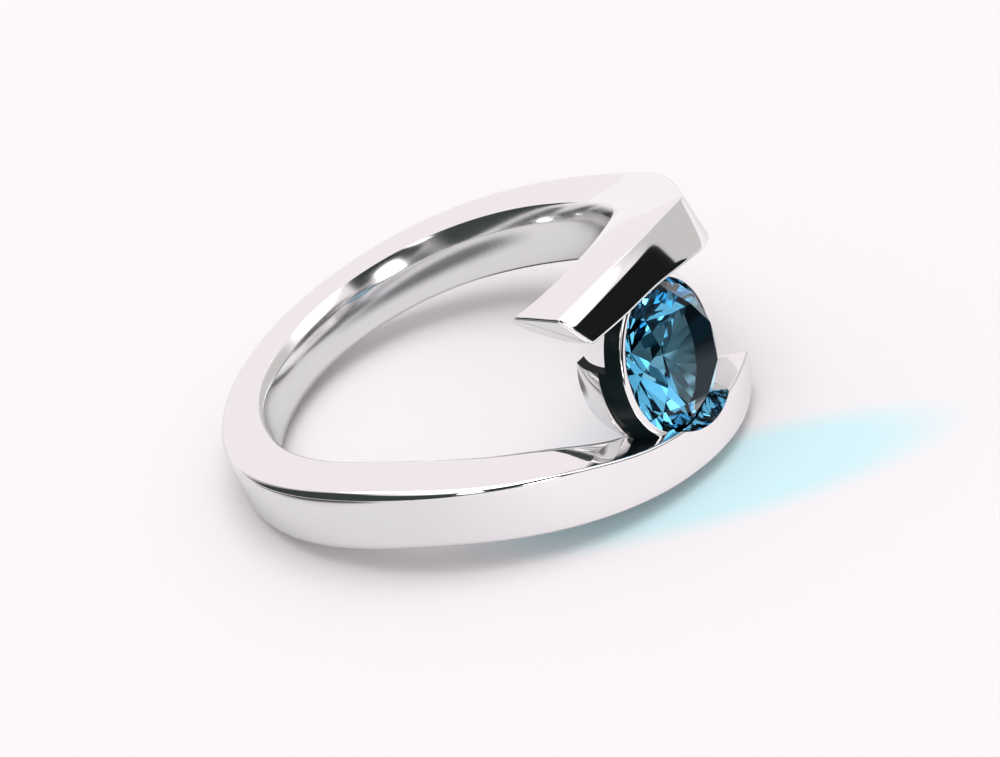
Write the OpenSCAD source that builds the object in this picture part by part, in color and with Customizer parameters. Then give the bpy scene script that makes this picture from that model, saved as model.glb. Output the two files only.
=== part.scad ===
// Bypass ring: one band whose two arms pass each other at the head, with a
// bezel cup between them that holds a round brilliant-cut stone.
// The band is drawn about its bore axis (Z), with the head at +X. The upper
// arm comes round from +Y and ends at -Y above the stone. The lower arm is
// its half turn about the X axis, with a rounder outer face at the head. The
// whole ring then leans as it lies.

/* [Finger hole] */
// Radius of the finger hole
bore_r = 8.2; // [7.9:0.05:8.25]
// Rounding of the edges of the finger hole
comfort = 0.3; // [0.2:0.05:0.35]

/* [Arms] */
// Where each arm is cut off, measured across from the head's middle
tip_y = 3.95; // [3.6:0.05:4.2]
// Lean of the cut, so that the end undercuts
tip_lean = 18; // [0:1:20]
// Turn of the cut, so that the end's outer side is longer
tip_turn = 10; // [0:1:12]
// Distance of the flat on the upper arm's outer face from the bore axis
flat_x = 12.99; // [12.9:0.03:13.08]
// Turn of the flat towards the tip
flat_turn = 2.9; // [2.1:0.2:3.7]
// Lean of the flat towards the bore axis
flat_lean = 25; // [24:0.5:26]
// Radius of the flat's slight bulge along the arm
flat_bulge = 17.5; // [16:0.5:20]

/* [Stone] */
// Diameter of the stone over its girdle
stone_d = 6.5; // [6.3:0.05:6.55]
// Distance of the girdle from the bore axis
girdle_x = 10.08; // [10.06:0.02:10.2]
// Height of the crown over the girdle
crown_h = 1.25; // [1:0.05:1.3]
// Depth of the pavilion under the girdle
pavilion_h = 1.78; // [1.5:0.02:1.78]
// Thickness of the girdle
girdle_h = 0.12; // [0.08:0.02:0.16]
// Diameter of the table as a part of the stone's
table_share = 0.62; // [0.56:0.01:0.65]

/* [Cup] */
// Outer radius of the cup
cup_r = 3.6; // [3.56:0.02:3.7]
// Thickness of the cup's wall
cup_wall = 0.34; // [0.3:0.02:0.4]
// Width of the cup's rim
rim_w = 0.2; // [0.16:0.02:0.3]
// How far below the girdle the cup's outside starts to lean in
taper_h = 0.35; // [0.2:0.05:0.5]
// Width of the bearing that the stone sits on
bearing_w = 0.2; // [0.16:0.02:0.24]
// Depth of the bearing
bearing_h = 0.26; // [0.22:0.02:0.3]
// Clearance between the stone and the metal
seat_gap = 0.04; // [0.02:0.01:0.05]
// How far the cup and the stone sit below the ring's middle
cup_drop = 0.35; // [0.2:0.05:0.4]
// Height of the window's sill above the ring's middle
sill_z = 1.25; // [1.1:0.05:1.6]

/* [Lying position] */
// Lean of the bore axis towards the palm side
lean_back = 10.3; // [9:0.05:11.5]
// Lean of the bore axis to the side
lean_side = 4.35; // [3.5:0.05:5.5]

/* [Hidden] */
$fn = 96;

// Sections of an arm from the palm to the tip. Columns: angle from the palm,
// height of the outboard face, height of the inboard face, the upper arm's
// outer radius at its outboard and at its inboard edge, the lower arm's outer
// radius at its outboard and at its inboard edge, width and drop of the slope
// that thins the inboard face towards the finger hole, and rounding of the
// outer edges.
ANGLE = 0;
Z_OUT = 1;
Z_IN = 2;
R_OUT = 3;
R_IN = 4;
LOW_OUT = 5;
LOW_IN = 6;
SLOPE_W = 7;
SLOPE_H = 8;
EDGE = 9;
ARM = [
    [  0, 1.30, -1.30, 10.15, 10.15, 10.15, 10.15, 0.3, 0.30, 0.32],
    [ 30, 1.30, -1.30, 10.20, 10.20, 10.20, 10.20, 0.3, 0.30, 0.32],
    [ 60, 1.35, -1.40, 10.40, 10.35, 10.40, 10.35, 0.3, 0.30, 0.32],
    [ 90, 1.50, -1.42, 10.60, 10.50, 10.60, 10.50, 0.3, 0.30, 0.32],
    [110, 1.85, -0.95, 10.82, 10.75, 10.82, 10.75, 0.3, 0.30, 0.30],
    [130, 2.70,  0.05, 11.05, 11.08, 11.10, 11.05, 0.5, 0.35, 0.20],
    [145, 3.45,  0.95, 11.25, 11.45, 11.33, 11.25, 0.8, 0.45, 0.14],
    [160, 4.18,  2.10, 11.80, 12.12, 11.40, 11.32, 1.2, 0.65, 0.11],
    [170, 4.52,  2.65, 11.95, 12.25, 11.46, 11.35, 1.4, 0.85, 0.10],
    [180, 4.75,  3.08, 11.95, 12.25, 11.50, 11.42, 1.6, 1.00, 0.10],
    [190, 4.88,  3.25, 11.95, 12.25, 11.38, 11.53, 1.8, 1.15, 0.10],
    [203, 4.90,  3.42, 11.95, 12.25, 11.12, 11.60, 1.9, 1.25, 0.10],
    [214, 4.92,  3.45, 11.95, 12.25, 11.05, 11.60, 2.0, 1.30, 0.10],
];
last_angle = ARM[len(ARM) - 1][ANGLE];
tip_z = ARM[len(ARM) - 1][Z_IN];
// Sections of an arm: coarse on the shank, finer at the head
head_angle = 140;
shank_steps = 28;
head_steps = 20;
// The sections start this far inside the finger hole, which is then cut
// through them
core_depth = 0.6;
core_r = bore_r - core_depth;
stone_r = stone_d / 2;
table_r = stone_r * table_share;
crown_x = girdle_x + girdle_h / 2;
seat_x = girdle_x - girdle_h / 2 - seat_gap;
seat_r = stone_r + seat_gap;
// The bearing slopes in like the pavilion above it
bearing_r = stone_r - bearing_w;
bearing_x = seat_x - pavilion_h * bearing_w / stone_r;
under_x = seat_x - bearing_h;
// Where the star facets meet the halves of the crown
star_r = (table_r + stone_r) / 2 * 1.02;
star_h = crown_h * (stone_r - star_r * cos(22.5)) / (stone_r - table_r);
// The lip leans in over the crown, clear of its halves, and ends at this
// radius and height
lip_r = stone_r - 0.13;
lip_x = crown_x + star_h * (stone_r - lip_r) / (stone_r - star_r) + seat_gap;
rim_x = lip_x + 0.08;
rim_r = lip_r + rim_w;
taper_x = girdle_x - taper_h;
// Height of the window, and the size of the block that cuts it
window_h = 1.6;
window_reach = 6;
// Where the block that cuts off a tip turns, its size and how far it starts
// below that point
tip_pivot_x = 9.5;
tip_block = [9, 3, 4];
tip_below = 1.4;
// Radius at which the pavilion's mains meet its halves, as a part of the stone's
main_share = 0.22;

function slope(i, col) =
    (ARM[i + 1][col] - ARM[i][col]) / (ARM[i + 1][ANGLE] - ARM[i][ANGLE]);

// Slope of a column at row i, for a smooth curve through the rows
function tangent(i, col) =
    i == 0 ? 0
    : i == len(ARM) - 1 ? slope(i - 1, col)
    : (slope(i - 1, col) + slope(i, col)) / 2;

function row_at(a, i = 0) =
    i >= len(ARM) - 2 || a < ARM[i + 1][ANGLE] ? i : row_at(a, i + 1);

// Value of a column at any angle, by cubic pieces between the rows
function arm_value(a, col) =
    let (
        i = row_at(a),
        span = ARM[i + 1][ANGLE] - ARM[i][ANGLE],
        t = (a - ARM[i][ANGLE]) / span,
        t2 = t * t,
        t3 = t2 * t
    )
    (2 * t3 - 3 * t2 + 1) * ARM[i][col] + (t3 - 2 * t2 + t) * span * tangent(i, col)
    + (3 * t2 - 2 * t3) * ARM[i + 1][col] + (t3 - t2) * span * tangent(i + 1, col);

// One section of an arm as points of radius and height, from the finger
// hole's outboard edge over the outer face to its inboard edge
function section(a, lower) =
    let (
        zo = arm_value(a, Z_OUT),
        zi = arm_value(a, Z_IN),
        ro = arm_value(a, lower ? LOW_OUT : R_OUT),
        ri = arm_value(a, lower ? LOW_IN : R_IN),
        sw = arm_value(a, SLOPE_W),
        sh = arm_value(a, SLOPE_H),
        e = arm_value(a, EDGE),
        c = comfort,
        k = 1 - cos(45)
    )
    [
        [core_r, zo - 2 * c],
        [bore_r + c * 0.15, zo - c * 0.5],
        [bore_r + c * 0.5, zo - c * 0.15],
        [bore_r + c, zo],
        [ro - e, zo],
        [ro - e * k, zo - e * k],
        [ro, zo - e],
        [ri, zi + e],
        [ri - e * k, zi + e * k],
        [ri - e, zi],
        [bore_r + sw, zi],
        [bore_r + sw * 0.5, zi + sh * 0.15],
        [bore_r + sw * 0.15, zi + sh * 0.5],
        [core_r, min(zi + sh + c, zo - 2.2 * c)],
    ];

// Radius at which the bulging flat meets the direction of angle a at height z
function flat_radius(a, z) =
    let (
        along = -cos(a) - tan(flat_turn) * sin(a),
        bulge = pow(sin(a), 2) / (2 * flat_bulge),
        at = flat_x - z * tan(flat_lean)
    )
    2 * at / (along + sqrt(along * along + 4 * bulge * at));

// One section of an arm in space, the upper arm's kept inside the flat on the
// head. The lower arm's is turned half a turn about X, so its points run the
// other way round.
function upper_ring(a, lower = false) =
    [
        for (p = section(a, lower))
            let (r = lower || a < head_angle ? p[0] : min(p[0], flat_radius(a, p[1])))
            [-r * cos(a), r * sin(a), p[1]]
    ];

function lower_ring(a) =
    let (pts = upper_ring(a, true))
    [for (i = [len(pts) - 1 : -1 : 0]) [pts[i][0], -pts[i][1], -pts[i][2]]];

module band_sweep() {
    angles = concat(
        [for (k = [0 : shank_steps - 1]) head_angle * k / shank_steps],
        [for (k = [0 : head_steps]) head_angle + (last_angle - head_angle) * k / head_steps]
    );
    steps = len(angles) - 1;
    count = 2 * steps;
    rings = concat(
        [for (k = [steps : -1 : 1]) lower_ring(angles[k])],
        [for (a = angles) upper_ring(a)]
    );
    n = len(rings[0]);
    points = [for (ring = rings, p = ring) p];
    sides = [
        for (k = [0 : count - 1], j = [0 : n - 1])
            let (a = k * n + j, b = k * n + (j + 1) % n)
            each [[a, b, b + n], [a, b + n, a + n]]
    ];
    first = [for (j = [n - 1 : -1 : 0]) j];
    last = [for (j = [0 : n - 1]) count * n + j];
    polyhedron(points = points, faces = concat(sides, [first, last]), convexity = 8);
}

// What lies beyond the upper arm's slanted tip
module past_tip() {
    translate([tip_pivot_x, -tip_y, tip_z]) rotate([tip_lean, 0, -tip_turn])
        translate([-tip_block[0] / 2, -tip_block[1], -tip_below]) cube(tip_block);
}

module half_turn() {
    rotate([180, 0, 0]) children();
}

// A solid of revolution about the cup's axis from a profile of [radius, x]
module about_cup_axis() {
    translate([0, 0, -cup_drop]) rotate([90, 0, 90]) rotate_extrude() children();
}

module cup_outside() {
    about_cup_axis()
        intersection() {
            union() {
                translate([0, girdle_x]) circle(r = cup_r);
                translate([0, girdle_x]) square([cup_r, crown_x - girdle_x]);
            }
            polygon([
                [0, 6], [cup_r + 1, 6], [cup_r + 1, taper_x], [cup_r, taper_x],
                [rim_r, rim_x], [0, rim_x],
            ]);
        }
}

// Everything inside the cup: the open space behind the stone, the hole in
// the bearing, the girdle's seat and the opening over the crown
module cup_inside() {
    about_cup_axis() {
        intersection() {
            translate([0, girdle_x]) circle(r = cup_r - cup_wall);
            square([cup_r, under_x]);
        }
        polygon([
            [0, 7], [bearing_r, 9], [bearing_r, bearing_x], [seat_r, seat_x],
            [seat_r, crown_x + seat_gap], [lip_r, lip_x], [lip_r, 13], [0, 13],
        ]);
    }
}

// The window over the near sill, between the cup's rim and the upper arm
module window() {
    translate([window_reach, -window_reach, sill_z])
        cube([under_x - window_reach, window_reach, window_h]);
}

module lying() {
    rotate([lean_side, -lean_back, 0]) children();
}

module band() {
    color("silver")
        lying()
            difference() {
                union() {
                    band_sweep();
                    cup_outside();
                }
                cylinder(r = bore_r, h = 30, center = true);
                cup_inside();
                window();
                past_tip();
                half_turn() past_tip();
            }
}

// Ring of points of the stone: n points from the angle first
function ring_points(r, z, n, first = 0) =
    [for (k = [0 : n - 1]) [r * cos(first + k * 360 / n), r * sin(first + k * 360 / n), z]];

// Round brilliant about Z, its girdle in the plane z = 0: eight kites, eight
// star facets and sixteen halves on the crown, eight mains and sixteen halves
// on the pavilion
module brilliant() {
    half = girdle_h / 2;
    main_r = stone_r * main_share;
    main_z = -half - pavilion_h * (1 - main_r * cos(22.5) / stone_r);
    points = concat(
        ring_points(table_r, half + crown_h, 8),
        ring_points(star_r, half + star_h, 8, 22.5),
        ring_points(stone_r, half, 16),
        ring_points(stone_r, -half, 16),
        ring_points(main_r, main_z, 8, 22.5),
        [[0, 0, -half - pavilion_h]]
    );
    table0 = 0;
    star0 = 8;
    top0 = 16;
    low0 = 32;
    main0 = 48;
    culet = 56;
    faces = concat(
        [[for (k = [7 : -1 : 0]) table0 + k]],
        [for (k = [0 : 7]) let (m = (k + 1) % 8) each [
            [table0 + k, table0 + m, star0 + k],
            [table0 + m, star0 + m, top0 + 2 * m, star0 + k],
            [star0 + k, top0 + 2 * k + 1, top0 + 2 * k],
            [star0 + k, top0 + 2 * m, top0 + 2 * k + 1],
            [low0 + 2 * k, low0 + 2 * k + 1, main0 + k],
            [low0 + 2 * k + 1, low0 + 2 * m, main0 + k],
            [culet, main0 + k, low0 + 2 * m, main0 + m],
        ]],
        [for (k = [0 : 15]) let (m = (k + 1) % 16) [top0 + k, top0 + m, low0 + m, low0 + k]]
    );
    polyhedron(points = points, faces = faces, convexity = 2);
}

module gemstone() {
    color("deepskyblue")
        lying()
            translate([girdle_x, 0, -cup_drop]) rotate([0, 90, 0]) brilliant();
}

band();
gemstone();
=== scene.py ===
"""Bypass ring with a round bezel-set stone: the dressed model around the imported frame.

Lengths in the tables are millimetres in the ring's own frame: the bore axis is Z, the
head is at +X and the near arm at -Y. finish_piece leans a mesh as the ring lies.
"""
import math

import bmesh
import bpy
import numpy as np
from mathutils import Matrix, Vector


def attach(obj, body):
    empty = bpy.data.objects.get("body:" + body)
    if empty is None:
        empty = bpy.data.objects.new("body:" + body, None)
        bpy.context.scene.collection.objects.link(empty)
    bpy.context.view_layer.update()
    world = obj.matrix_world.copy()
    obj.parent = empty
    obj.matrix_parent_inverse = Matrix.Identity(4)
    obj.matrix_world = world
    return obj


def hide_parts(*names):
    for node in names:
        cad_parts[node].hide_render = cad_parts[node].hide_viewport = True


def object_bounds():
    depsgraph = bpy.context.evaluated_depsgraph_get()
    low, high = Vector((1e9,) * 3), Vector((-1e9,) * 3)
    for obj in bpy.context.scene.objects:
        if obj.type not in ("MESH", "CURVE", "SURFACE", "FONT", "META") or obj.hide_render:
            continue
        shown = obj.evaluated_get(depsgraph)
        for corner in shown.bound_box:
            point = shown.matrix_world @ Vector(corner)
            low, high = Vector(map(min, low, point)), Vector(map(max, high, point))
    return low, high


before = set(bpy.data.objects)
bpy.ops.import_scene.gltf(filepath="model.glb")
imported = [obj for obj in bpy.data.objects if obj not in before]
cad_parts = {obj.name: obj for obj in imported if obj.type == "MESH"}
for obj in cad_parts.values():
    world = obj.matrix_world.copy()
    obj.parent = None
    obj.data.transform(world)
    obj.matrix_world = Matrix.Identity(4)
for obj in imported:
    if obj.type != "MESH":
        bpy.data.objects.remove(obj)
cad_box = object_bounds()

bl_info = {
    "name": "Bypass Ring Maker",
    "version": (1, 0, 0),
    "blender": (4, 5, 0),
    "location": "View3D > Sidebar > Ring",
    "description": "Builds a polished bypass ring with a round blue stone around its CAD frame",
    "category": "Add Mesh",
}

MM = 0.001

# The camera in the ring's own frame: its place in millimetres and its right, up and
# back directions, its focal length as a share of the picture's width, and its sensor
CAMERA_PLACE = (136.3, -147.5, 109.5)
CAMERA_RIGHT = (0.802, 0.444, -0.400)
CAMERA_UP = (0.046, 0.622, 0.782)
CAMERA_BACK = (0.596, -0.645, 0.479)
FOCAL_SHARE = 5.568
SENSOR_WIDTH = 36
# Where the middle of the finger hole stands in the picture, from its middle, as
# shares of the width
HOLE_IN_PICTURE = (-0.0423, 0.0181)

# Sections of an arm from the palm to the tip: angle from the palm, height of the
# outboard and the inboard face, the upper arm's outer radius at its outboard and its
# inboard edge, the lower arm's, width and drop of the slope towards the finger hole,
# drop of the rounding on the hole's outboard edge, and rounding of the outer edges
ARM_COLUMNS = ("angle", "z_out", "z_in", "r_out", "r_in", "low_out", "low_in",
               "slope_w", "slope_h", "comfort_h", "edge")
ARM = (
    (0, 1.30, -1.30, 10.15, 10.15, 10.15, 10.15, 0.32, 0.50, 0.50, 0.40),
    (30, 1.30, -1.30, 10.20, 10.20, 10.20, 10.20, 0.31, 0.35, 0.75, 0.40),
    (60, 1.35, -1.40, 10.40, 10.35, 10.40, 10.35, 0.3, 0.30, 0.85, 0.40),
    (90, 1.50, -1.42, 10.60, 10.50, 10.60, 10.50, 0.3, 0.30, 0.85, 0.40),
    (110, 1.85, -0.95, 10.82, 10.75, 10.82, 10.75, 0.3, 0.30, 0.80, 0.35),
    (130, 2.70, 0.05, 11.05, 11.08, 11.10, 11.05, 0.5, 0.35, 0.60, 0.20),
    (145, 3.45, 0.95, 11.25, 11.45, 11.33, 11.25, 0.8, 0.45, 0.35, 0.14),
    (160, 4.18, 2.10, 11.80, 12.12, 11.40, 11.32, 1.2, 0.65, 0.25, 0.11),
    (170, 4.52, 2.65, 11.95, 12.25, 11.46, 11.35, 1.4, 0.85, 0.25, 0.10),
    (180, 4.75, 3.08, 11.95, 12.25, 11.50, 11.42, 1.6, 1.00, 0.25, 0.10),
    (190, 4.88, 3.25, 11.95, 12.25, 11.38, 11.53, 1.8, 1.15, 0.25, 0.10),
    (203, 4.90, 3.42, 11.95, 12.25, 11.12, 11.60, 1.9, 1.25, 0.25, 0.10),
    (214, 4.92, 3.45, 11.95, 12.25, 11.05, 11.60, 2.0, 1.30, 0.25, 0.10),
)
# Angles between sections on the shank and, from the angle HEAD on, at the head, how many
# sections the head has, and angles past the middle of the head and past both tips
SHANK_STEP = 2.0
HEAD = 140
HEAD_STEP = 0.5
HEAD_SECTIONS = 100
TIP_START = 178
PAST_TIP = 226
# Share of its size that keeps the smooth sweep within the box of the solids
SWEEP_SHARE = 0.998
# Vertices of a mesh that are nearer than this are one
MERGE = 0.0005

# Edges of the finger hole: how far inside the hole the sections start, the share of a
# rounding's drop at which they do, how far short of the wall a rounding ends in degrees,
# and the least height of the wall between the two roundings and between their ends
CORE = 0.6
CORE_DROP = 1.25
ROUNDING_END = 12
WALL = 0.15
CORE_WALL = 0.1
# How round the hole's outboard edge is: 2 is an ellipse, 1 a straight bevel. The slope on
# the inboard edge is as round at the palm, where the arms join, and goes over to an
# ellipse by PALM_END and to a squarer oval where it is wide.
COMFORT_POWER = 1.15
PALM_END = 40
NARROW_SLOPE, WIDE_SLOPE = 0.3, 2

# The flat on the upper arm: turn towards the tip, lean towards the bore axis, radius of
# its bulge, softness of the crease where it starts, and how far its top edge rolls back
# at the tip, over what height and between which angles
FLAT_TURN = math.radians(2.9)
FLAT_LEAN = math.radians(25)
FLAT_BULGE = 17.5
CREASE = 0.16
BROW = 0.10
BROW_H = 0.55
BROW_ANGLES = (168, 188)
# A tip's cut: a point on it, the way it faces, the rounding of its edges, and the turns
# of that rounding that have a section
TIP_PIVOT = Vector((9.5, -3.95, 3.45))
TIP_NORMAL = Matrix.Rotation(math.radians(-10), 3, "Z") @ (
    Matrix.Rotation(math.radians(18), 3, "X") @ Vector((0, -1, 0)))
TIP_ROUNDING = 0.15
TIP_TURNS = (0.4, 0.8, 1.2, math.pi / 2)

# The finger hole's cutter: sides, length, and a small turn that keeps its edges clear of
# the sections
BORE_SIDES = 288
BORE_LENGTH = 30
BORE_TURN = 0.0053

# The bezel cup and the stone in it, with heights along the cup's axis: how far below the
# ring's middle they sit, the gap about the stone, its girdle and pavilion, the bearing
# under it, the lip over it, the rim above the lip, and where the outside starts to lean in
CUP_DROP = 0.35
CLEARANCE = 0.04
GIRDLE_H = 0.12
PAVILION_H = 1.78
BEARING_W = 0.2
BEARING_H = 0.26
LIP_OVER_STONE = 0.13
LIP_H = 0.22
RIM_H = 0.08
RIM_W = 0.2
RIM_ROUNDING = 0.12
RIM_SILL = 0.01
TAPER_H = 0.35
CUP_SIDES = 160
# The cutter for the inside has other sides, turned so that none meets one of the cup's
INSIDE_SIDES = 150
INSIDE_TURN = 0.7
CUTTER_TOP = 13
# The cup's outside has the painted shade from this far below the taper to this far below the rim
DARK_BELOW_TAPER = 0.4
BRIGHT_RIM = 0.13
# Corners of the window over the cup's near sill, the second one's X being the bearing's
WINDOW_LOW = (6, -6, 1.25)
WINDOW_HIGH = (0, 2.85)

# The band's finishes, the second of them a near-black metal that is painted shade, and how far
# outside the finger hole and how much towards its axis a polished face may look before it has the
# inner wall's finish
METALS = ("Polished white metal", "Painted shade", "Satin inner wall")
POLISHED, PAINTED_SHADE, SATIN = range(len(METALS))
SATIN_REACH = 0.4
SATIN_FACING = -0.1
POLISHED_ROUGHNESS, PAINTED_SHADE_ROUGHNESS, SATIN_ROUGHNESS = 0.03, 0.12, 0.12
# Edges with a greater angle stay sharp, and large faces weigh this much in the shading
SMOOTH_ANGLE = math.radians(32)
FACE_WEIGHT = 60


class RingSizes(bpy.types.PropertyGroup):
    bore_radius: bpy.props.FloatProperty(
        name="Finger hole radius", description="Radius of the finger hole",
        default=0.0082, subtype="DISTANCE", unit="LENGTH")
    comfort: bpy.props.FloatProperty(
        name="Hole edge rounding", description="Rounding of the edges of the finger hole",
        default=0.00032, subtype="DISTANCE", unit="LENGTH")
    flat_distance: bpy.props.FloatProperty(
        name="Flat distance", description="Distance of the head's flat from the bore axis",
        default=0.01299, subtype="DISTANCE", unit="LENGTH")
    stone_width: bpy.props.FloatProperty(
        name="Stone width", description="Diameter of the stone over its girdle",
        default=0.0065, subtype="DISTANCE", unit="LENGTH")
    girdle_distance: bpy.props.FloatProperty(
        name="Girdle distance", description="Distance of the stone's girdle from the bore axis",
        default=0.01008, subtype="DISTANCE", unit="LENGTH")
    cup_radius: bpy.props.FloatProperty(
        name="Cup radius", description="Outer radius of the bezel cup",
        default=0.0036, subtype="DISTANCE", unit="LENGTH")
    cup_wall: bpy.props.FloatProperty(
        name="Cup wall", description="Thickness of the bezel cup's wall",
        default=0.00034, subtype="DISTANCE", unit="LENGTH")
    lean_back: bpy.props.FloatProperty(
        name="Lean back", description="Lean of the bore axis towards the palm side",
        default=math.radians(10.3), subtype="ANGLE", unit="ROTATION")
    lean_side: bpy.props.FloatProperty(
        name="Lean to the side", description="Lean of the bore axis to the side",
        default=math.radians(4.35), subtype="ANGLE", unit="ROTATION")


class RingColours(bpy.types.PropertyGroup):
    metal: bpy.props.FloatVectorProperty(
        name="Metal", description="Colour of the polished white metal",
        default=(0.93, 0.92, 0.92), size=3, min=0, max=1, subtype="COLOR")
    stone: bpy.props.FloatVectorProperty(
        name="Stone", description="Colour of the clear blue stone",
        default=(0.60, 0.93, 1.0), size=3, min=0, max=1, subtype="COLOR")
    floor: bpy.props.FloatVectorProperty(
        name="Floor", description="Colour of the pale floor",
        default=(0.95, 0.925, 0.935), size=3, min=0, max=1, subtype="COLOR")


def sizes():
    return bpy.context.scene.ring_sizes


def colours():
    return bpy.context.scene.ring_colours


def mm(value):
    """A length property in millimetres."""
    return value / MM


def lying():
    """Turns the ring's own frame to the way it lies on the floor."""
    s = sizes()
    return Matrix.Rotation(-s.lean_back, 4, "Y") @ Matrix.Rotation(s.lean_side, 4, "X")


# Meshes

def deselect():
    if bpy.context.mode != "OBJECT":
        bpy.ops.object.mode_set(mode="OBJECT")
    bpy.ops.object.select_all(action="DESELECT")


def select(obj):
    deselect()
    bpy.context.view_layer.objects.active = obj
    obj.select_set(True)


def edit(obj):
    select(obj)
    bpy.ops.object.mode_set(mode="EDIT")
    bpy.ops.mesh.select_mode(type="FACE")


def outward(obj):
    edit(obj)
    bpy.ops.mesh.select_all(action="SELECT")
    bpy.ops.mesh.normals_make_consistent(inside=False)
    bpy.ops.object.mode_set(mode="OBJECT")


def apply_modifier(obj, kind, **values):
    select(obj)
    modifier = obj.modifiers.new(kind.lower(), kind)
    for key, value in values.items():
        setattr(modifier, key, value)
    bpy.ops.object.modifier_apply(modifier=modifier.name)


def combine(obj, other, operation):
    """Joins or cuts obj with another closed mesh, which is then removed."""
    apply_modifier(obj, "BOOLEAN", operation=operation, object=other, solver="EXACT")
    bpy.data.objects.remove(other)
    if not obj.data.polygons:
        raise RuntimeError(f"{operation} left nothing of {obj.name}")


def metal_slots(obj, slot):
    """Gives obj the band's three finishes, and all its faces one of them."""
    obj.data.materials.clear()
    for name in METALS:
        obj.data.materials.append(bpy.data.materials[name])
    for face in obj.data.polygons:
        face.material_index = slot
    return obj


def lathe(name, profile, steps, start=0):
    """Turns a profile of (distance along X, radius) points about the cup's axis."""
    deselect()
    bpy.ops.mesh.primitive_circle_add(vertices=len(profile), fill_type="NOTHING")
    obj = bpy.context.object
    obj.name = name
    edit(obj)
    bm = bmesh.from_edit_mesh(obj.data)
    bm.verts.ensure_lookup_table()
    for vert, (x, radius) in zip(bm.verts, profile):
        vert.co = (x, 0, radius)
    closing = bm.edges.get((bm.verts[0], bm.verts[len(profile) - 1]))
    bm.edges.remove(closing)
    bmesh.update_edit_mesh(obj.data)
    bpy.ops.mesh.select_all(action="SELECT")
    bpy.ops.mesh.spin(steps=steps, angle=math.tau, center=(0, 0, 0), axis=(1, 0, 0))
    bpy.ops.mesh.select_all(action="SELECT")
    bpy.ops.mesh.remove_doubles(threshold=MERGE)
    bpy.ops.object.mode_set(mode="OBJECT")
    outward(obj)
    obj.data.transform(
        Matrix.Translation((0, 0, -CUP_DROP)) @ Matrix.Rotation(math.radians(start), 4, "X"))
    return obj


def finish_piece(obj, name):
    """Leans the mesh as the ring lies, in metres, and shades it."""
    obj.data.transform(lying() @ Matrix.Scale(MM, 4))
    obj.name = name
    obj.data.name = name
    select(obj)
    bpy.ops.object.shade_smooth_by_angle(angle=SMOOTH_ANGLE)
    apply_modifier(obj, "WEIGHTED_NORMAL", keep_sharp=True, weight=FACE_WEIGHT)


# The band

def spline(column):
    """A smooth curve through a column of the arm table, level at the palm."""
    x = np.array([row[0] for row in ARM], float)
    y = np.array([row[ARM_COLUMNS.index(column)] for row in ARM], float)
    h = np.diff(x)
    n = len(x)
    a = np.zeros((n, n))
    b = np.zeros(n)
    a[0, 0], a[0, 1] = 2 * h[0], h[0]
    b[0] = 6 * (y[1] - y[0]) / h[0]
    a[-1, -1] = 1
    for i in range(1, n - 1):
        a[i, i - 1:i + 2] = h[i - 1], 2 * (h[i - 1] + h[i]), h[i]
        b[i] = 6 * ((y[i + 1] - y[i]) / h[i] - (y[i] - y[i - 1]) / h[i - 1])
    m = np.linalg.solve(a, b)

    def value(at):
        i = min(max(int(np.searchsorted(x, at)) - 1, 0), n - 2)
        left, right = at - x[i], x[i + 1] - at
        return (m[i] * right ** 3 + m[i + 1] * left ** 3) / (6 * h[i]) + (
            (y[i] / h[i] - m[i] * h[i] / 6) * right
            + (y[i + 1] / h[i] - m[i + 1] * h[i] / 6) * left)

    return value


def smooth_step(value, start, end):
    t = min(max((value - start) / (end - start), 0), 1)
    return t * t * (3 - 2 * t)


def arc(centre, start, end, radii, steps, power=2.0):
    """Points between two angles, in degrees, of an ellipse or a squarer oval."""
    points = []
    for k in range(steps + 1):
        t = math.radians(start + (end - start) * k / steps)
        c, s = math.cos(t), math.sin(t)
        points.append((
            centre[0] + radii[0] * math.copysign(abs(c) ** (2 / power), c),
            centre[1] + radii[1] * math.copysign(abs(s) ** (2 / power), s)))
    return points


def soft_min(a, b, reach):
    """The smaller of two values, with a soft corner."""
    h = max(reach - abs(a - b), 0) / reach
    return min(a, b) - h * h * reach / 4


def flat_radius(angle, z, z_out):
    """Radius at which the flat meets the direction of an angle at a height."""
    a = math.radians(angle)
    half = math.sin(a) ** 2 / (2 * FLAT_BULGE)
    along = -math.cos(a) - math.tan(FLAT_TURN) * math.sin(a)
    at = mm(sizes().flat_distance) - z * math.tan(FLAT_LEAN)
    r = at / along
    for _ in range(4):
        r = (at - half * r * r) / along
    top = max(z - z_out + BROW_H, 0) / BROW_H
    return r - BROW * smooth_step(angle, *BROW_ANGLES) * top * top


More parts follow.
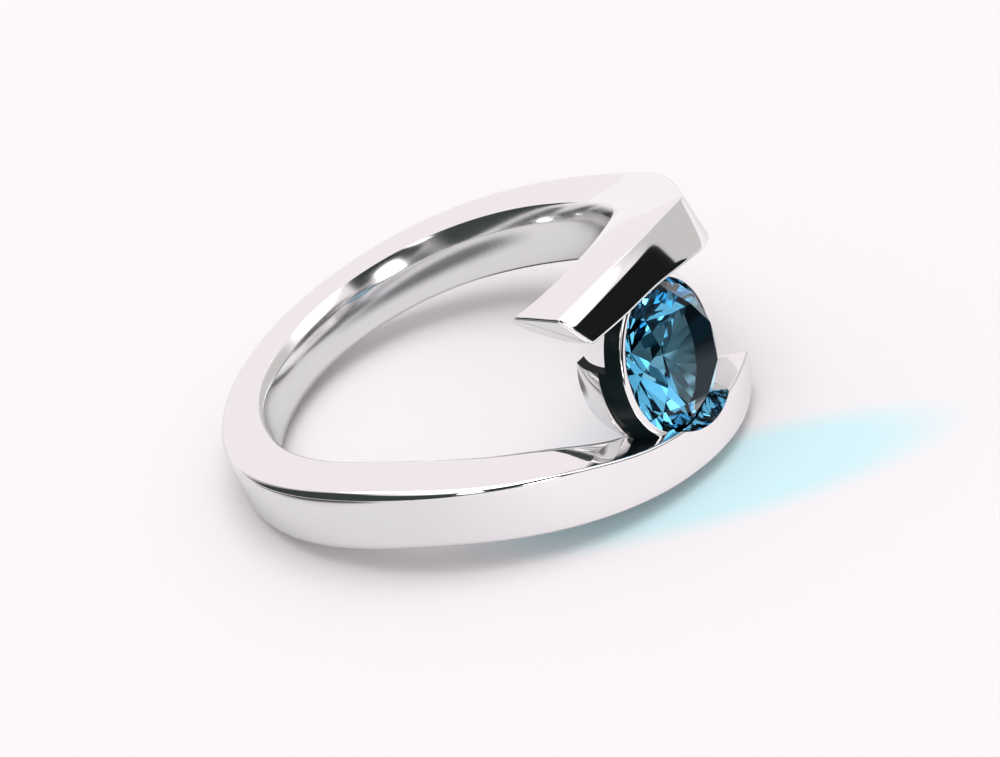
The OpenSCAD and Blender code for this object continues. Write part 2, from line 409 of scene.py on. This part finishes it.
def section(angle, values, lower):
    """One section of an arm as (radius, height) points, from the finger hole's outboard
    edge over the outer face to its inboard edge."""
    s = sizes()
    bore, c, e = mm(s.bore_radius), mm(s.comfort), values["edge"]
    core = bore - CORE
    zo, zi, h = values["z_out"], values["z_in"], values["comfort_h"]
    sw = values["slope_w"]
    sh = min(values["slope_h"], zo - zi - h - WALL)
    slope_power = 2 - 0.5 * smooth_step(sw, NARROW_SLOPE, WIDE_SLOPE)
    power = COMFORT_POWER + (slope_power - COMFORT_POWER) * smooth_step(angle, 0, PALM_END)
    ro, ri = (values["low_out"], values["low_in"]) if lower else (values["r_out"], values["r_in"])

    def outer(z):
        r = ro + (ri - ro) * (zo - z) / (zo - zi)
        return r if lower or angle < HEAD else soft_min(r, flat_radius(angle, z, zo), CREASE)

    def corner(z, step=0.03):
        """Centre of the rounding at one end of the outer face, and the face's lean."""
        lean = math.atan((outer(z - step) - outer(z + step)) / (2 * step))
        return (outer(z) - e / math.cos(lean), z), lean

    top, top_lean = corner(zo - e)
    low, low_lean = corner(zi + e)
    z1, z2 = top[1] + e * math.sin(top_lean), low[1] + e * math.sin(low_lean)
    face = [z1 + (z2 - z1) * k / 10 for k in range(1, 10)]
    points = [(core, zo - h * CORE_DROP)]
    points += arc((bore + c, zo - h), 180 - ROUNDING_END, 90, (c, h), 8, COMFORT_POWER)
    points += [(bore + c + (top[0] - bore - c) * k / 4, zo) for k in (1, 2, 3)]
    points += arc(top, 90, math.degrees(top_lean), (e, e), 6)
    points += [(outer(z), z) for z in face]
    points += arc(low, math.degrees(low_lean), -90, (e, e), 6)
    points += [(low[0] + (bore + sw - low[0]) * k / 4, zi) for k in (1, 2, 3)]
    points += arc((bore + sw, zi + sh), 270, 180 + ROUNDING_END, (sw, sh), 8, power)
    points += [(core, min(zi + sh * CORE_DROP, zo - h * CORE_DROP - CORE_WALL))]
    return points


def inset(points, amount):
    """The section moved inwards, but for its ends inside the finger hole."""
    moved = [points[0]]
    for before, here, after in zip(points, points[1:], points[2:]):
        dr, dz = after[0] - before[0], after[1] - before[1]
        length = math.hypot(dr, dz)
        moved.append((here[0] + dz / length * amount, here[1] - dr / length * amount))
    return moved + [points[-1]]


def arm_rings(lower):
    """Sections of one arm in space, as the upper arm lies, from the palm to the end face
    of its rounded and slanted tip."""
    curves = {key: spline(key) for key in ARM_COLUMNS[1:]}

    def rings(angles, amount=0.0):
        found = []
        for angle in angles:
            points = section(angle, {key: curve(angle) for key, curve in curves.items()}, lower)
            points = np.array(inset(points, amount) if amount else points)
            a = math.radians(angle)
            found.append(np.column_stack(
                (-points[:, 0] * math.cos(a), points[:, 0] * math.sin(a), points[:, 1])))
        return np.array(found)

    def ends(angles, table, back):
        """Where each line of points comes to a distance from the tip's cut."""
        reach = (table - np.array(TIP_PIVOT)) @ np.array(TIP_NORMAL)
        start = int(np.searchsorted(angles, 180))
        return np.array([np.interp(-back, line[start:], angles[start:]) for line in reach.T])

    def along(angles, table, at):
        return np.array([[np.interp(a, angles, table[:, j, axis]) for axis in range(3)]
                         for j, a in enumerate(at)])

    angles = np.arange(HEAD, PAST_TIP, HEAD_STEP)
    table = rings(angles)
    last = ends(angles, table, TIP_ROUNDING)
    result = list(rings(np.arange(0, HEAD, SHANK_STEP)))
    result += [along(angles, table, HEAD + (last - HEAD) * k / HEAD_SECTIONS)
               for k in range(HEAD_SECTIONS + 1)]
    angles = np.arange(TIP_START, PAST_TIP, HEAD_STEP)
    for t in TIP_TURNS:
        table = rings(angles, TIP_ROUNDING * (1 - math.cos(t)))
        result.append(along(angles, table, ends(angles, table, TIP_ROUNDING * (1 - math.sin(t)))))
    return result


def band_sweep():
    """The shank and both arms as one closed sweep. The lower arm is an upper arm turned
    half a turn about X."""
    lower = [(ring * (1, -1, -1))[::-1] for ring in arm_rings(True)]
    rings = lower[:0:-1] + arm_rings(False)
    count, n = len(rings), len(rings[0])
    deselect()
    bpy.ops.mesh.primitive_grid_add(x_subdivisions=n, y_subdivisions=count - 1, size=2)
    obj = bpy.context.object
    points = np.array([np.vstack((ring, ring[:1])) for ring in rings]) * SWEEP_SHARE
    obj.data.vertices.foreach_set("co", points.reshape(-1))
    obj.data.update()
    edit(obj)
    bpy.ops.mesh.select_all(action="SELECT")
    bpy.ops.mesh.remove_doubles(threshold=MERGE)
    bpy.ops.mesh.select_all(action="DESELECT")
    bpy.ops.mesh.select_mode(type="EDGE")
    bpy.ops.mesh.select_non_manifold()
    bpy.ops.mesh.fill_holes(sides=0)
    bpy.ops.object.mode_set(mode="OBJECT")
    outward(obj)
    return obj


def cup_numbers():
    """Radii of the cup, and its levels along its axis from the bore axis."""
    s = sizes()
    n = {"r": mm(s.cup_radius), "wall": mm(s.cup_wall), "girdle": mm(s.girdle_distance)}
    stone = mm(s.stone_width) / 2
    n["crown"] = n["girdle"] + GIRDLE_H / 2
    n["seat"] = n["girdle"] - GIRDLE_H / 2 - CLEARANCE
    n["seat_r"] = stone + CLEARANCE
    n["bearing_r"] = stone - BEARING_W
    n["bearing"] = n["seat"] - PAVILION_H * BEARING_W / stone
    n["under"] = n["seat"] - BEARING_H
    n["lip_r"] = stone - LIP_OVER_STONE
    n["lip"] = n["crown"] + LIP_H
    n["rim"] = n["lip"] + RIM_H
    n["rim_r"] = n["lip_r"] + RIM_W
    n["taper"] = n["girdle"] - TAPER_H
    n["dark"] = n["taper"] - DARK_BELOW_TAPER
    n["bright"] = n["rim"] - BRIGHT_RIM
    return n


def cup_outside():
    """The cup's outside: round below, then leaning straight in to the rounded rim."""
    n = cup_numbers()
    last = math.acos((n["girdle"] - n["taper"]) / n["r"])
    profile = [(n["girdle"] - n["r"] * math.cos(last * k / 24), n["r"] * math.sin(last * k / 24))
               for k in range(25)]
    low = n["rim"] - RIM_ROUNDING
    start = profile[-1][1]
    edge = n["rim_r"] + (start - n["rim_r"]) * RIM_ROUNDING / (n["rim"] - n["taper"])
    inner = n["lip_r"] + RIM_SILL
    for k in range(13):
        t = math.radians(90 * k / 12)
        profile.append((low + RIM_ROUNDING * math.sin(t), inner + (edge - inner) * math.cos(t)))
    profile.append((n["rim"], 0))
    return lathe("cup_outside", profile, CUP_SIDES)


def cup_inside():
    """Everything inside the cup: the space behind the stone, the hole in the bearing, the
    girdle's seat and the opening over the crown."""
    n = cup_numbers()
    inner = n["r"] - n["wall"]
    last = math.acos((n["girdle"] - n["under"]) / inner)
    profile = [(n["girdle"] - inner * math.cos(last * k / 20), inner * math.sin(last * k / 20))
               for k in range(21)]
    profile += [
        (n["under"], n["bearing_r"]), (n["bearing"], n["bearing_r"]), (n["seat"], n["seat_r"]),
        (n["crown"] + CLEARANCE, n["seat_r"]), (n["lip"], n["lip_r"]),
        (CUTTER_TOP, n["lip_r"]), (CUTTER_TOP, 0)]
    return lathe("cup_inside", profile, INSIDE_SIDES, start=INSIDE_TURN)


def window():
    """The block that opens the cup over its near sill."""
    low, high = Vector(WINDOW_LOW), Vector((cup_numbers()["under"], *WINDOW_HIGH))
    deselect()
    bpy.ops.mesh.primitive_cube_add(size=1, location=(low + high) / 2)
    obj = bpy.context.object
    obj.scale = high - low
    bpy.ops.object.transform_apply(location=True, rotation=True, scale=True)
    return obj


class RING_OT_band(bpy.types.Operator):
    """Builds the band with its two arms and the bezel cup as one polished piece"""

    bl_idname = "ring.band"
    bl_label = "Band and bezel cup"

    def execute(self, context):
        white_metal(METALS[POLISHED], POLISHED_ROUGHNESS)
        white_metal(METALS[SATIN], SATIN_ROUGHNESS)
        painted_shade_metal()
        n = cup_numbers()
        bore = mm(sizes().bore_radius)
        cup = metal_slots(cup_outside(), POLISHED)
        # Faces of the cup's outside between these levels get the painted shade
        for face in cup.data.polygons:
            if n["dark"] < face.center.x < n["bright"]:
                face.material_index = PAINTED_SHADE
        band = metal_slots(band_sweep(), POLISHED)
        combine(band, cup, "UNION")
        deselect()
        bpy.ops.mesh.primitive_cylinder_add(
            vertices=BORE_SIDES, radius=bore, depth=BORE_LENGTH, rotation=(0, 0, BORE_TURN))
        combine(band, metal_slots(bpy.context.object, SATIN), "DIFFERENCE")
        # The faces that the cup's inside and the window open get the painted shade
        combine(band, metal_slots(cup_inside(), PAINTED_SHADE), "DIFFERENCE")
        combine(band, metal_slots(window(), PAINTED_SHADE), "DIFFERENCE")
        for face in band.data.polygons:
            if face.center.x > n["bright"]:
                face.material_index = POLISHED
            elif face.material_index == POLISHED:
                out = Vector((face.center.x, face.center.y, 0))
                facing = face.normal.dot(out.normalized())
                if out.length < bore + SATIN_REACH and facing < SATIN_FACING:
                    face.material_index = SATIN
        finish_piece(band, "polished_band")
        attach(band, "root")
        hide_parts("band")
        return {"FINISHED"}


class RING_OT_gemstone(bpy.types.Operator):
    """Gives the faceted stone its clear blue finish"""

    bl_idname = "ring.gemstone"
    bl_label = "Gemstone"

    def execute(self, context):
        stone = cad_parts["gemstone"]
        stone.data.materials.clear()
        stone.data.materials.append(blue_stone())
        return {"FINISHED"}


# Materials

# Depth of the polishing marks, and the colour and gloss of the near-black metal that paints the
# shade in and about the cup
MARK_DEPTH = 0.00001
PAINTED_SHADE_COLOUR = (0.008, 0.015, 0.016)
PAINTED_SHADE_GLOSS = 0.05
# The stone's refraction, the tint of its reflections, the colour and the least and
# greatest density of its body, and how finely its density varies
STONE_IOR = 1.62
STONE_TINT = (0.05, 0.20, 0.30)
STONE_BODY = (0.0, 0.63, 0.88)
STONE_DENSITY = (200, 250)
STONE_GRAIN = 300
# The floor's roughness and gloss, and how finely and by what share its tone varies
FLOOR_ROUGHNESS = 0.6
FLOOR_GLOSS = 0.1
FLOOR_GRAIN = 14
FLOOR_VARIATION = 1.02
# The floor's light as the metal shows it: near the ring, and far out to the right and the
# back, between these distances
FLOOR_NEAR = (0.80, 0.82, 0.825)
FLOOR_FAR = (0.99, 0.99, 0.99)
FAR_RIGHT = (2, 17)
FAR_BACK = (28, 50)
# The blue light through the stone: where it falls, how it is turned, its half lengths,
# how far in from its edge it is full, and its colour
GLOW_PLACE = (12.3, -1.7)
GLOW_TURN = math.radians(38)
GLOW_SIZE = (11.5, 3.7)
GLOW_EDGE = 0.48
GLOW_COLOUR = (0.70, 0.96, 1.0)

# Shaded places on the floor that the metal and the stone show: where, how far each is
# fully dim, where it ends, and how dim it is
FLOOR_SPOTS = (
    ("in_the_hole", (-0.8, 0.4, 1.6, 4.0, 0.20)),
    ("under_the_head", (5.2, 3.7, 2.6, 3.9, 0.22)),
    ("hole_back", (2.0, 5.6, 1.3, 2.5, 0.22)),
    ("behind", (-1.6, 10.6, 2.2, 4.2, 0.12)),
    ("far_behind", (-4.6, 15.5, 2.5, 5.0, 0.12)),
    ("beyond_the_stone", (22.8, 14.2, 3.5, 7.0, 0.03)),
    ("front_left", (-9.0, -21.0, 4.0, 10.0, 0.20)),
    ("far_left", (-30.0, -35.0, 20.0, 27.0, 0.10)),
)


def new_material(name):
    material = bpy.data.materials.new(name)
    material.use_nodes = True
    nodes, links = material.node_tree.nodes, material.node_tree.links
    return material, nodes, links, nodes["Principled BSDF"]


def new_group(name, output, kind):
    """A shader node group with one output."""
    group = bpy.data.node_groups.new(name, "ShaderNodeTree")
    group.interface.new_socket(output, in_out="OUTPUT", socket_type=kind)
    return group, group.nodes, group.links, group.nodes.new("NodeGroupOutput")


def join(links, value, socket):
    """Links an output to a socket, or sets the socket to a plain value."""
    if isinstance(value, (int, float, tuple)):
        socket.default_value = value
    else:
        links.new(value, socket)


def math_node(nodes, links, operation, *values):
    node = nodes.new("ShaderNodeMath")
    node.operation = operation
    for socket, value in zip(node.inputs, values):
        join(links, value, socket)
    return node.outputs[0]


def ramp_node(nodes, links, value, low, high, start=0.0, end=1.0):
    node = nodes.new("ShaderNodeMapRange")
    node.interpolation_type = "SMOOTHSTEP"
    for name, number in (("Value", value), ("From Min", low), ("From Max", high),
                         ("To Min", start), ("To Max", end)):
        join(links, number, node.inputs[name])
    return node.outputs["Result"]


def mix_node(nodes, links, factor, a, b, blend="MIX"):
    node = nodes.new("ShaderNodeMix")
    node.data_type = "RGBA"
    node.blend_type = blend
    for name, value in (("Factor", factor), ("A", a), ("B", b)):
        join(links, value, next(s for s in node.inputs if s.name == name and s.enabled))
    return next(s for s in node.outputs if s.enabled)


def scale_node(nodes, links, vector, scale):
    node = nodes.new("ShaderNodeVectorMath")
    node.operation = "SCALE"
    links.new(vector, node.inputs["Vector"])
    links.new(scale, node.inputs["Scale"])
    return node.outputs["Vector"]


def group_node(nodes, group, name=""):
    node = nodes.new("ShaderNodeGroup")
    node.node_tree = group
    node.name = node.label = name or group.name
    return node


def polish_group():
    """Faint polishing marks: a roughness and a surface normal."""
    group, nodes, links, target = new_group("Polishing marks", "Roughness", "NodeSocketFloat")
    face = group.interface
    for name, default in (("Scale", 900.0), ("Roughness", 0.04), ("Variation", 0.03),
                          ("Strength", 0.05)):
        socket = face.new_socket(name, in_out="INPUT", socket_type="NodeSocketFloat")
        socket.default_value = default
    face.new_socket("Normal", in_out="OUTPUT", socket_type="NodeSocketVector")
    source = nodes.new("NodeGroupInput")
    place = nodes.new("ShaderNodeTexCoord")
    noise = nodes.new("ShaderNodeTexNoise")
    noise.inputs["Detail"].default_value = 5
    links.new(place.outputs["Object"], noise.inputs["Vector"])
    links.new(source.outputs["Scale"], noise.inputs["Scale"])
    spread = math_node(nodes, links, "MULTIPLY_ADD", noise.outputs["Fac"],
                       source.outputs["Variation"], source.outputs["Roughness"])
    bump = nodes.new("ShaderNodeBump")
    bump.inputs["Distance"].default_value = MARK_DEPTH
    links.new(source.outputs["Strength"], bump.inputs["Strength"])
    links.new(noise.outputs["Fac"], bump.inputs["Height"])
    links.new(spread, target.inputs["Roughness"])
    links.new(bump.outputs["Normal"], target.inputs["Normal"])
    return group


def polish(nodes, links, shader, roughness):
    """Gives a shader the polishing marks over a roughness."""
    marks = group_node(nodes, bpy.data.node_groups.get("Polishing marks") or polish_group())
    marks.inputs["Roughness"].default_value = roughness
    links.new(marks.outputs["Roughness"], shader.inputs["Roughness"])
    links.new(marks.outputs["Normal"], shader.inputs["Normal"])


def white_metal(name, roughness):
    _, nodes, links, shader = new_material(name)
    shader.inputs["Base Color"].default_value = (*colours().metal, 1)
    shader.inputs["Metallic"].default_value = 1
    polish(nodes, links, shader, roughness)


def painted_shade_metal():
    """Near-black metal that paints the shade in the recesses about the stone."""
    _, nodes, links, shader = new_material(METALS[PAINTED_SHADE])
    shader.inputs["Base Color"].default_value = (*PAINTED_SHADE_COLOUR, 1)
    shader.inputs["Metallic"].default_value = 0
    shader.inputs["Specular IOR Level"].default_value = PAINTED_SHADE_GLOSS
    polish(nodes, links, shader, PAINTED_SHADE_ROUGHNESS)


def blue_stone():
    material, nodes, links, shader = new_material("Clear blue stone")
    shader.inputs["Base Color"].default_value = (*colours().stone, 1)
    shader.inputs["Metallic"].default_value = 0
    shader.inputs["Roughness"].default_value = 0.0
    shader.inputs["IOR"].default_value = STONE_IOR
    shader.inputs["Transmission Weight"].default_value = 1
    shader.inputs["Specular Tint"].default_value = (*STONE_TINT, 1)
    place = nodes.new("ShaderNodeTexCoord")
    noise = nodes.new("ShaderNodeTexNoise")
    noise.inputs["Scale"].default_value = STONE_GRAIN
    depth = nodes.new("ShaderNodeMapRange")
    depth.inputs["To Min"].default_value, depth.inputs["To Max"].default_value = STONE_DENSITY
    body = nodes.new("ShaderNodeVolumeAbsorption")
    body.inputs["Color"].default_value = (*STONE_BODY, 1)
    links.new(place.outputs["Object"], noise.inputs["Vector"])
    links.new(noise.outputs["Fac"], depth.inputs["Value"])
    links.new(depth.outputs["Result"], body.inputs["Density"])
    links.new(body.outputs["Volume"], nodes["Material Output"].inputs["Volume"])
    return material


def floor_light_group():
    """How bright the floor is about the ring, as the polished metal shows it."""
    group, nodes, links, target = new_group("Floor light", "Light", "NodeSocketColor")
    place = nodes.new("ShaderNodeTexCoord").outputs["Object"]
    split = nodes.new("ShaderNodeSeparateXYZ")
    links.new(place, split.inputs["Vector"])
    x, y = split.outputs["X"], split.outputs["Y"]
    right = ramp_node(nodes, links, x, *(d * MM for d in FAR_RIGHT))
    behind = math_node(nodes, links, "SUBTRACT", y, x)
    back = ramp_node(nodes, links, behind, *(d * MM for d in FAR_BACK))
    dimmed = 1.0
    for name, (spot_x, spot_y, inner, outer, dim) in FLOOR_SPOTS:
        away = nodes.new("ShaderNodeVectorMath")
        away.name = away.label = name
        away.operation = "DISTANCE"
        away.inputs[1].default_value = (spot_x * MM, spot_y * MM, cad_box[0].z)
        links.new(place, away.inputs[0])
        spot = ramp_node(nodes, links, away.outputs["Value"], inner * MM, outer * MM, dim, 1.0)
        dimmed = math_node(nodes, links, "MULTIPLY", dimmed, spot)
    far = math_node(nodes, links, "MAXIMUM", right, back)
    tone = mix_node(nodes, links, far, (*FLOOR_NEAR, 1), (*FLOOR_FAR, 1))
    links.new(scale_node(nodes, links, tone, dimmed), target.inputs["Light"])
    return group


def glow_group():
    """Mask of the light that falls through the stone onto the floor beside it."""
    group, nodes, links, target = new_group("Stone glow", "Mask", "NodeSocketFloat")
    place = nodes.new("ShaderNodeTexCoord")
    patch = nodes.new("ShaderNodeMapping")
    patch.vector_type = "TEXTURE"
    patch.inputs["Location"].default_value = (*(d * MM for d in GLOW_PLACE), 0)
    patch.inputs["Rotation"].default_value = (0, 0, GLOW_TURN)
    patch.inputs["Scale"].default_value = (*(d * MM for d in GLOW_SIZE), 1)
    links.new(place.outputs["Object"], patch.inputs["Vector"])
    spot = nodes.new("ShaderNodeTexGradient")
    spot.gradient_type = "SPHERICAL"
    links.new(patch.outputs["Vector"], spot.inputs["Vector"])
    mask = ramp_node(nodes, links, spot.outputs["Fac"], 0.0, GLOW_EDGE)
    links.new(mask, target.inputs["Mask"])
    return group


def pale_floor():
    """A plain pale floor with the stone's blue light on it. What the metal and the stone
    show of it has the floor light instead."""
    material, nodes, links, shader = new_material("Pale floor")
    shader.inputs["Roughness"].default_value = FLOOR_ROUGHNESS
    shader.inputs["Specular IOR Level"].default_value = FLOOR_GLOSS
    place = nodes.new("ShaderNodeTexCoord")
    noise = nodes.new("ShaderNodeTexNoise")
    noise.inputs["Scale"].default_value = FLOOR_GRAIN
    links.new(place.outputs["Object"], noise.inputs["Vector"])
    tint = colours().floor
    colour = mix_node(nodes, links, noise.outputs["Fac"], (*tint, 1),
                      (*(min(c * FLOOR_VARIATION, 1) for c in tint), 1))
    glow = group_node(nodes, glow_group())
    lit = mix_node(nodes, links, glow.outputs["Mask"], colour, (*GLOW_COLOUR, 1))
    light = group_node(nodes, floor_light_group())
    shaded = mix_node(nodes, links, 1.0, colour, light.outputs["Light"], "MULTIPLY")
    path = nodes.new("ShaderNodeLightPath")
    seen = mix_node(nodes, links, path.outputs["Is Camera Ray"], shaded, lit)
    links.new(seen, shader.inputs["Base Color"])
    return material


# The stage

# Cards of light and dark about the ring, the later over the earlier: azimuth, elevation,
# half width, half height and softness in degrees, squareness of the corners, colour and
# brightness
CARD_COLUMNS = ("azimuth", "elevation", "half_width", "half_height", "softness", "corner")
CARDS = (
    ("overhead", (0, 90, 400, 20, 4, 6), (1.0, 0.98, 0.99), 2.75),
    ("back_box", (130, 60, 45, 12, 3, 6), (1.0, 0.97, 0.98), 2.6),
    ("back_right", (76, 14, 34, 26, 4, 6), (0.60, 0.59, 0.58), 1.0),
    ("left_wall", (-125, 26, 60, 32, 6, 6), (0.04, 0.05, 0.048), 1.0),
    ("photographer", (-40, 42, 25, 27, 2.5, 6), (0.03, 0.035, 0.035), 1.0),
    ("left_lamp", (-67, 44, 6, 17, 1.2, 6), (1.0, 1.0, 1.0), 2.6),
    ("front_strip", (-40, 7, 25, 8, 2, 6), (0.16, 0.17, 0.17), 1.0),
    ("small_lamp", (-38, 16, 8, 8, 2, 3), (1.0, 1.0, 1.0), 6.0),
    ("right_box", (17, 53, 25, 25, 2, 3), (1.0, 1.0, 1.0), 1.5),
    ("right_dark", (14, 12, 34.4, 15, 0.06, 2.2), (0.008, 0.01, 0.009), 1.0),
)
SKY = (0.93, 0.87, 0.90)
# Width of the floor in metres
FLOOR_SIZE = 3
# What lights the floor: a soft lamp overhead and an even glow about it
KEY_CARD = (0, 90, 400, 27, 6, 6)
KEY_LIGHT = (2.42, 2.37, 2.40)
AMBIENT = (0.67, 0.655, 0.665)
# The plain backdrop, and how much brighter the stone shows the cards
BACKDROP = (0.95, 0.92, 0.935)
STONE_GAIN = 1.35


def card_group():
    """Mask of a soft-edged card seen in a direction."""
    group, nodes, links, target = new_group("Studio card", "Mask", "NodeSocketFloat")
    face = group.interface
    face.new_socket("Vector", in_out="INPUT", socket_type="NodeSocketVector")
    for name in CARD_COLUMNS:
        face.new_socket(name, in_out="INPUT", socket_type="NodeSocketFloat")
    card = nodes.new("NodeGroupInput").outputs

    def calc(operation, *values):
        return math_node(nodes, links, operation, *values)

    turn = nodes.new("ShaderNodeVectorRotate")
    turn.rotation_type = "Z_AXIS"
    links.new(card["Vector"], turn.inputs["Vector"])
    links.new(calc("MULTIPLY", calc("RADIANS", card["azimuth"]), -1.0), turn.inputs["Angle"])
    split = nodes.new("ShaderNodeSeparateXYZ")
    links.new(turn.outputs["Vector"], split.inputs["Vector"])
    across = calc("ABSOLUTE", calc("DEGREES", calc(
        "ARCTAN2", split.outputs["Y"], split.outputs["X"])))
    up = calc("DEGREES", calc("ARCSINE", split.outputs["Z"]))
    up = calc("ABSOLUTE", calc("SUBTRACT", up, card["elevation"]))
    shares = [calc("POWER", calc("DIVIDE", distance, card[half]), card["corner"])
              for distance, half in ((across, "half_width"), (up, "half_height"))]
    reach = calc("POWER", calc("ADD", *shares), calc("DIVIDE", 1.0, card["corner"]))
    soft = calc("DIVIDE", card["softness"], card["half_height"])
    mask = ramp_node(nodes, links, reach, calc("ADD", soft, 1.0), calc("SUBTRACT", 1.0, soft))
    links.new(mask, target.inputs["Mask"])
    return group


def soft_studio(context):
    """World of soft cards for the metal and the stone, an even light for the floor, and a
    plain pale backdrop where the camera looks past."""
    world = bpy.data.worlds.new("Soft studio")
    world.use_nodes = True
    context.scene.world = world
    nodes, links = world.node_tree.nodes, world.node_tree.links
    place = nodes.new("ShaderNodeTexCoord")
    group = card_group()

    def card_mask(name, numbers):
        card = group_node(nodes, group, name)
        links.new(place.outputs["Generated"], card.inputs["Vector"])
        for key, value in zip(CARD_COLUMNS, numbers):
            card.inputs[key].default_value = value
        return card.outputs["Mask"]

    cards = (*SKY, 1)
    for name, numbers, tint, brightness in CARDS:
        colour = (*(c * brightness for c in tint), 1)
        cards = mix_node(nodes, links, card_mask(name, numbers), cards, colour)
    path = nodes.new("ShaderNodeLightPath")
    gain = nodes.new("ShaderNodeMapRange")
    gain.inputs["To Min"].default_value = 1
    gain.inputs["To Max"].default_value = STONE_GAIN
    links.new(path.outputs["Is Transmission Ray"], gain.inputs["Value"])
    cards = scale_node(nodes, links, cards, gain.outputs["Result"])
    key = card_mask("key_light", KEY_CARD)
    light = mix_node(nodes, links, key, (*AMBIENT, 1), (*KEY_LIGHT, 1))
    mirrored = math_node(nodes, links, "MAXIMUM", path.outputs["Is Glossy Ray"],
                         path.outputs["Is Transmission Ray"])
    light = mix_node(nodes, links, mirrored, light, cards)
    shown = mix_node(nodes, links, path.outputs["Is Camera Ray"], light, (*BACKDROP, 1))
    links.new(shown, nodes["Background"].inputs["Color"])


class RING_OT_stage(bpy.types.Operator):
    """Adds the pale floor, the soft studio light and the camera"""

    bl_idname = "ring.stage"
    bl_label = "Floor, light and camera"

    def execute(self, context):
        deselect()
        bpy.ops.mesh.primitive_plane_add(size=FLOOR_SIZE, location=(0, 0, cad_box[0].z))
        floor = bpy.context.object
        bpy.ops.object.transform_apply(location=True, rotation=True, scale=True)
        floor.name = "floor"
        floor.data.materials.append(pale_floor())
        soft_studio(context)
        context.scene.view_settings.view_transform = "Standard"
        place_camera(context)
        return {"FINISHED"}


def place_camera(context):
    """A camera that sees the ring as the picture does, aimed at the picture's middle."""
    right, up, back = (Vector(v) for v in (CAMERA_RIGHT, CAMERA_UP, CAMERA_BACK))
    aside, above = (share / FOCAL_SHARE for share in HOLE_IN_PICTURE)
    back = (right * aside + up * above + back).normalized()
    right = up.cross(back).normalized()
    up = back.cross(right)
    turn = Matrix((right, up, back)).transposed().to_4x4()
    deselect()
    bpy.ops.object.camera_add()
    camera = context.object
    camera.name = "camera"
    camera.matrix_world = lying() @ Matrix.Translation(Vector(CAMERA_PLACE) * MM) @ turn
    camera.data.sensor_width = SENSOR_WIDTH
    camera.data.lens = FOCAL_SHARE * SENSOR_WIDTH
    camera.data.clip_start = 0.005
    camera.data.clip_end = 10
    context.scene.camera = camera


class RING_PT_panel(bpy.types.Panel):
    """Lists the ring's sizes, colours and making steps"""

    bl_label = "Bypass ring"
    bl_idname = "RING_PT_panel"
    bl_space_type = "VIEW_3D"
    bl_region_type = "UI"
    bl_category = "Ring"

    def draw(self, context):
        layout = self.layout
        for group in (context.scene.ring_sizes, context.scene.ring_colours):
            box = layout.box()
            for key in group.__annotations__:
                box.prop(group, key)
        for operator in STEPS:
            layout.operator(operator.bl_idname)


STEPS = (RING_OT_band, RING_OT_gemstone, RING_OT_stage)
CLASSES = (RingSizes, RingColours, *STEPS, RING_PT_panel)


def register():
    for cls in CLASSES:
        bpy.utils.register_class(cls)
    bpy.types.Scene.ring_sizes = bpy.props.PointerProperty(type=RingSizes)
    bpy.types.Scene.ring_colours = bpy.props.PointerProperty(type=RingColours)


def unregister():
    del bpy.types.Scene.ring_colours
    del bpy.types.Scene.ring_sizes
    for cls in reversed(CLASSES):
        bpy.utils.unregister_class(cls)


def main():
    register()
    bpy.ops.ring.stage()
    bpy.ops.ring.band()
    bpy.ops.ring.gemstone()


if __name__ == "__main__":
    main()
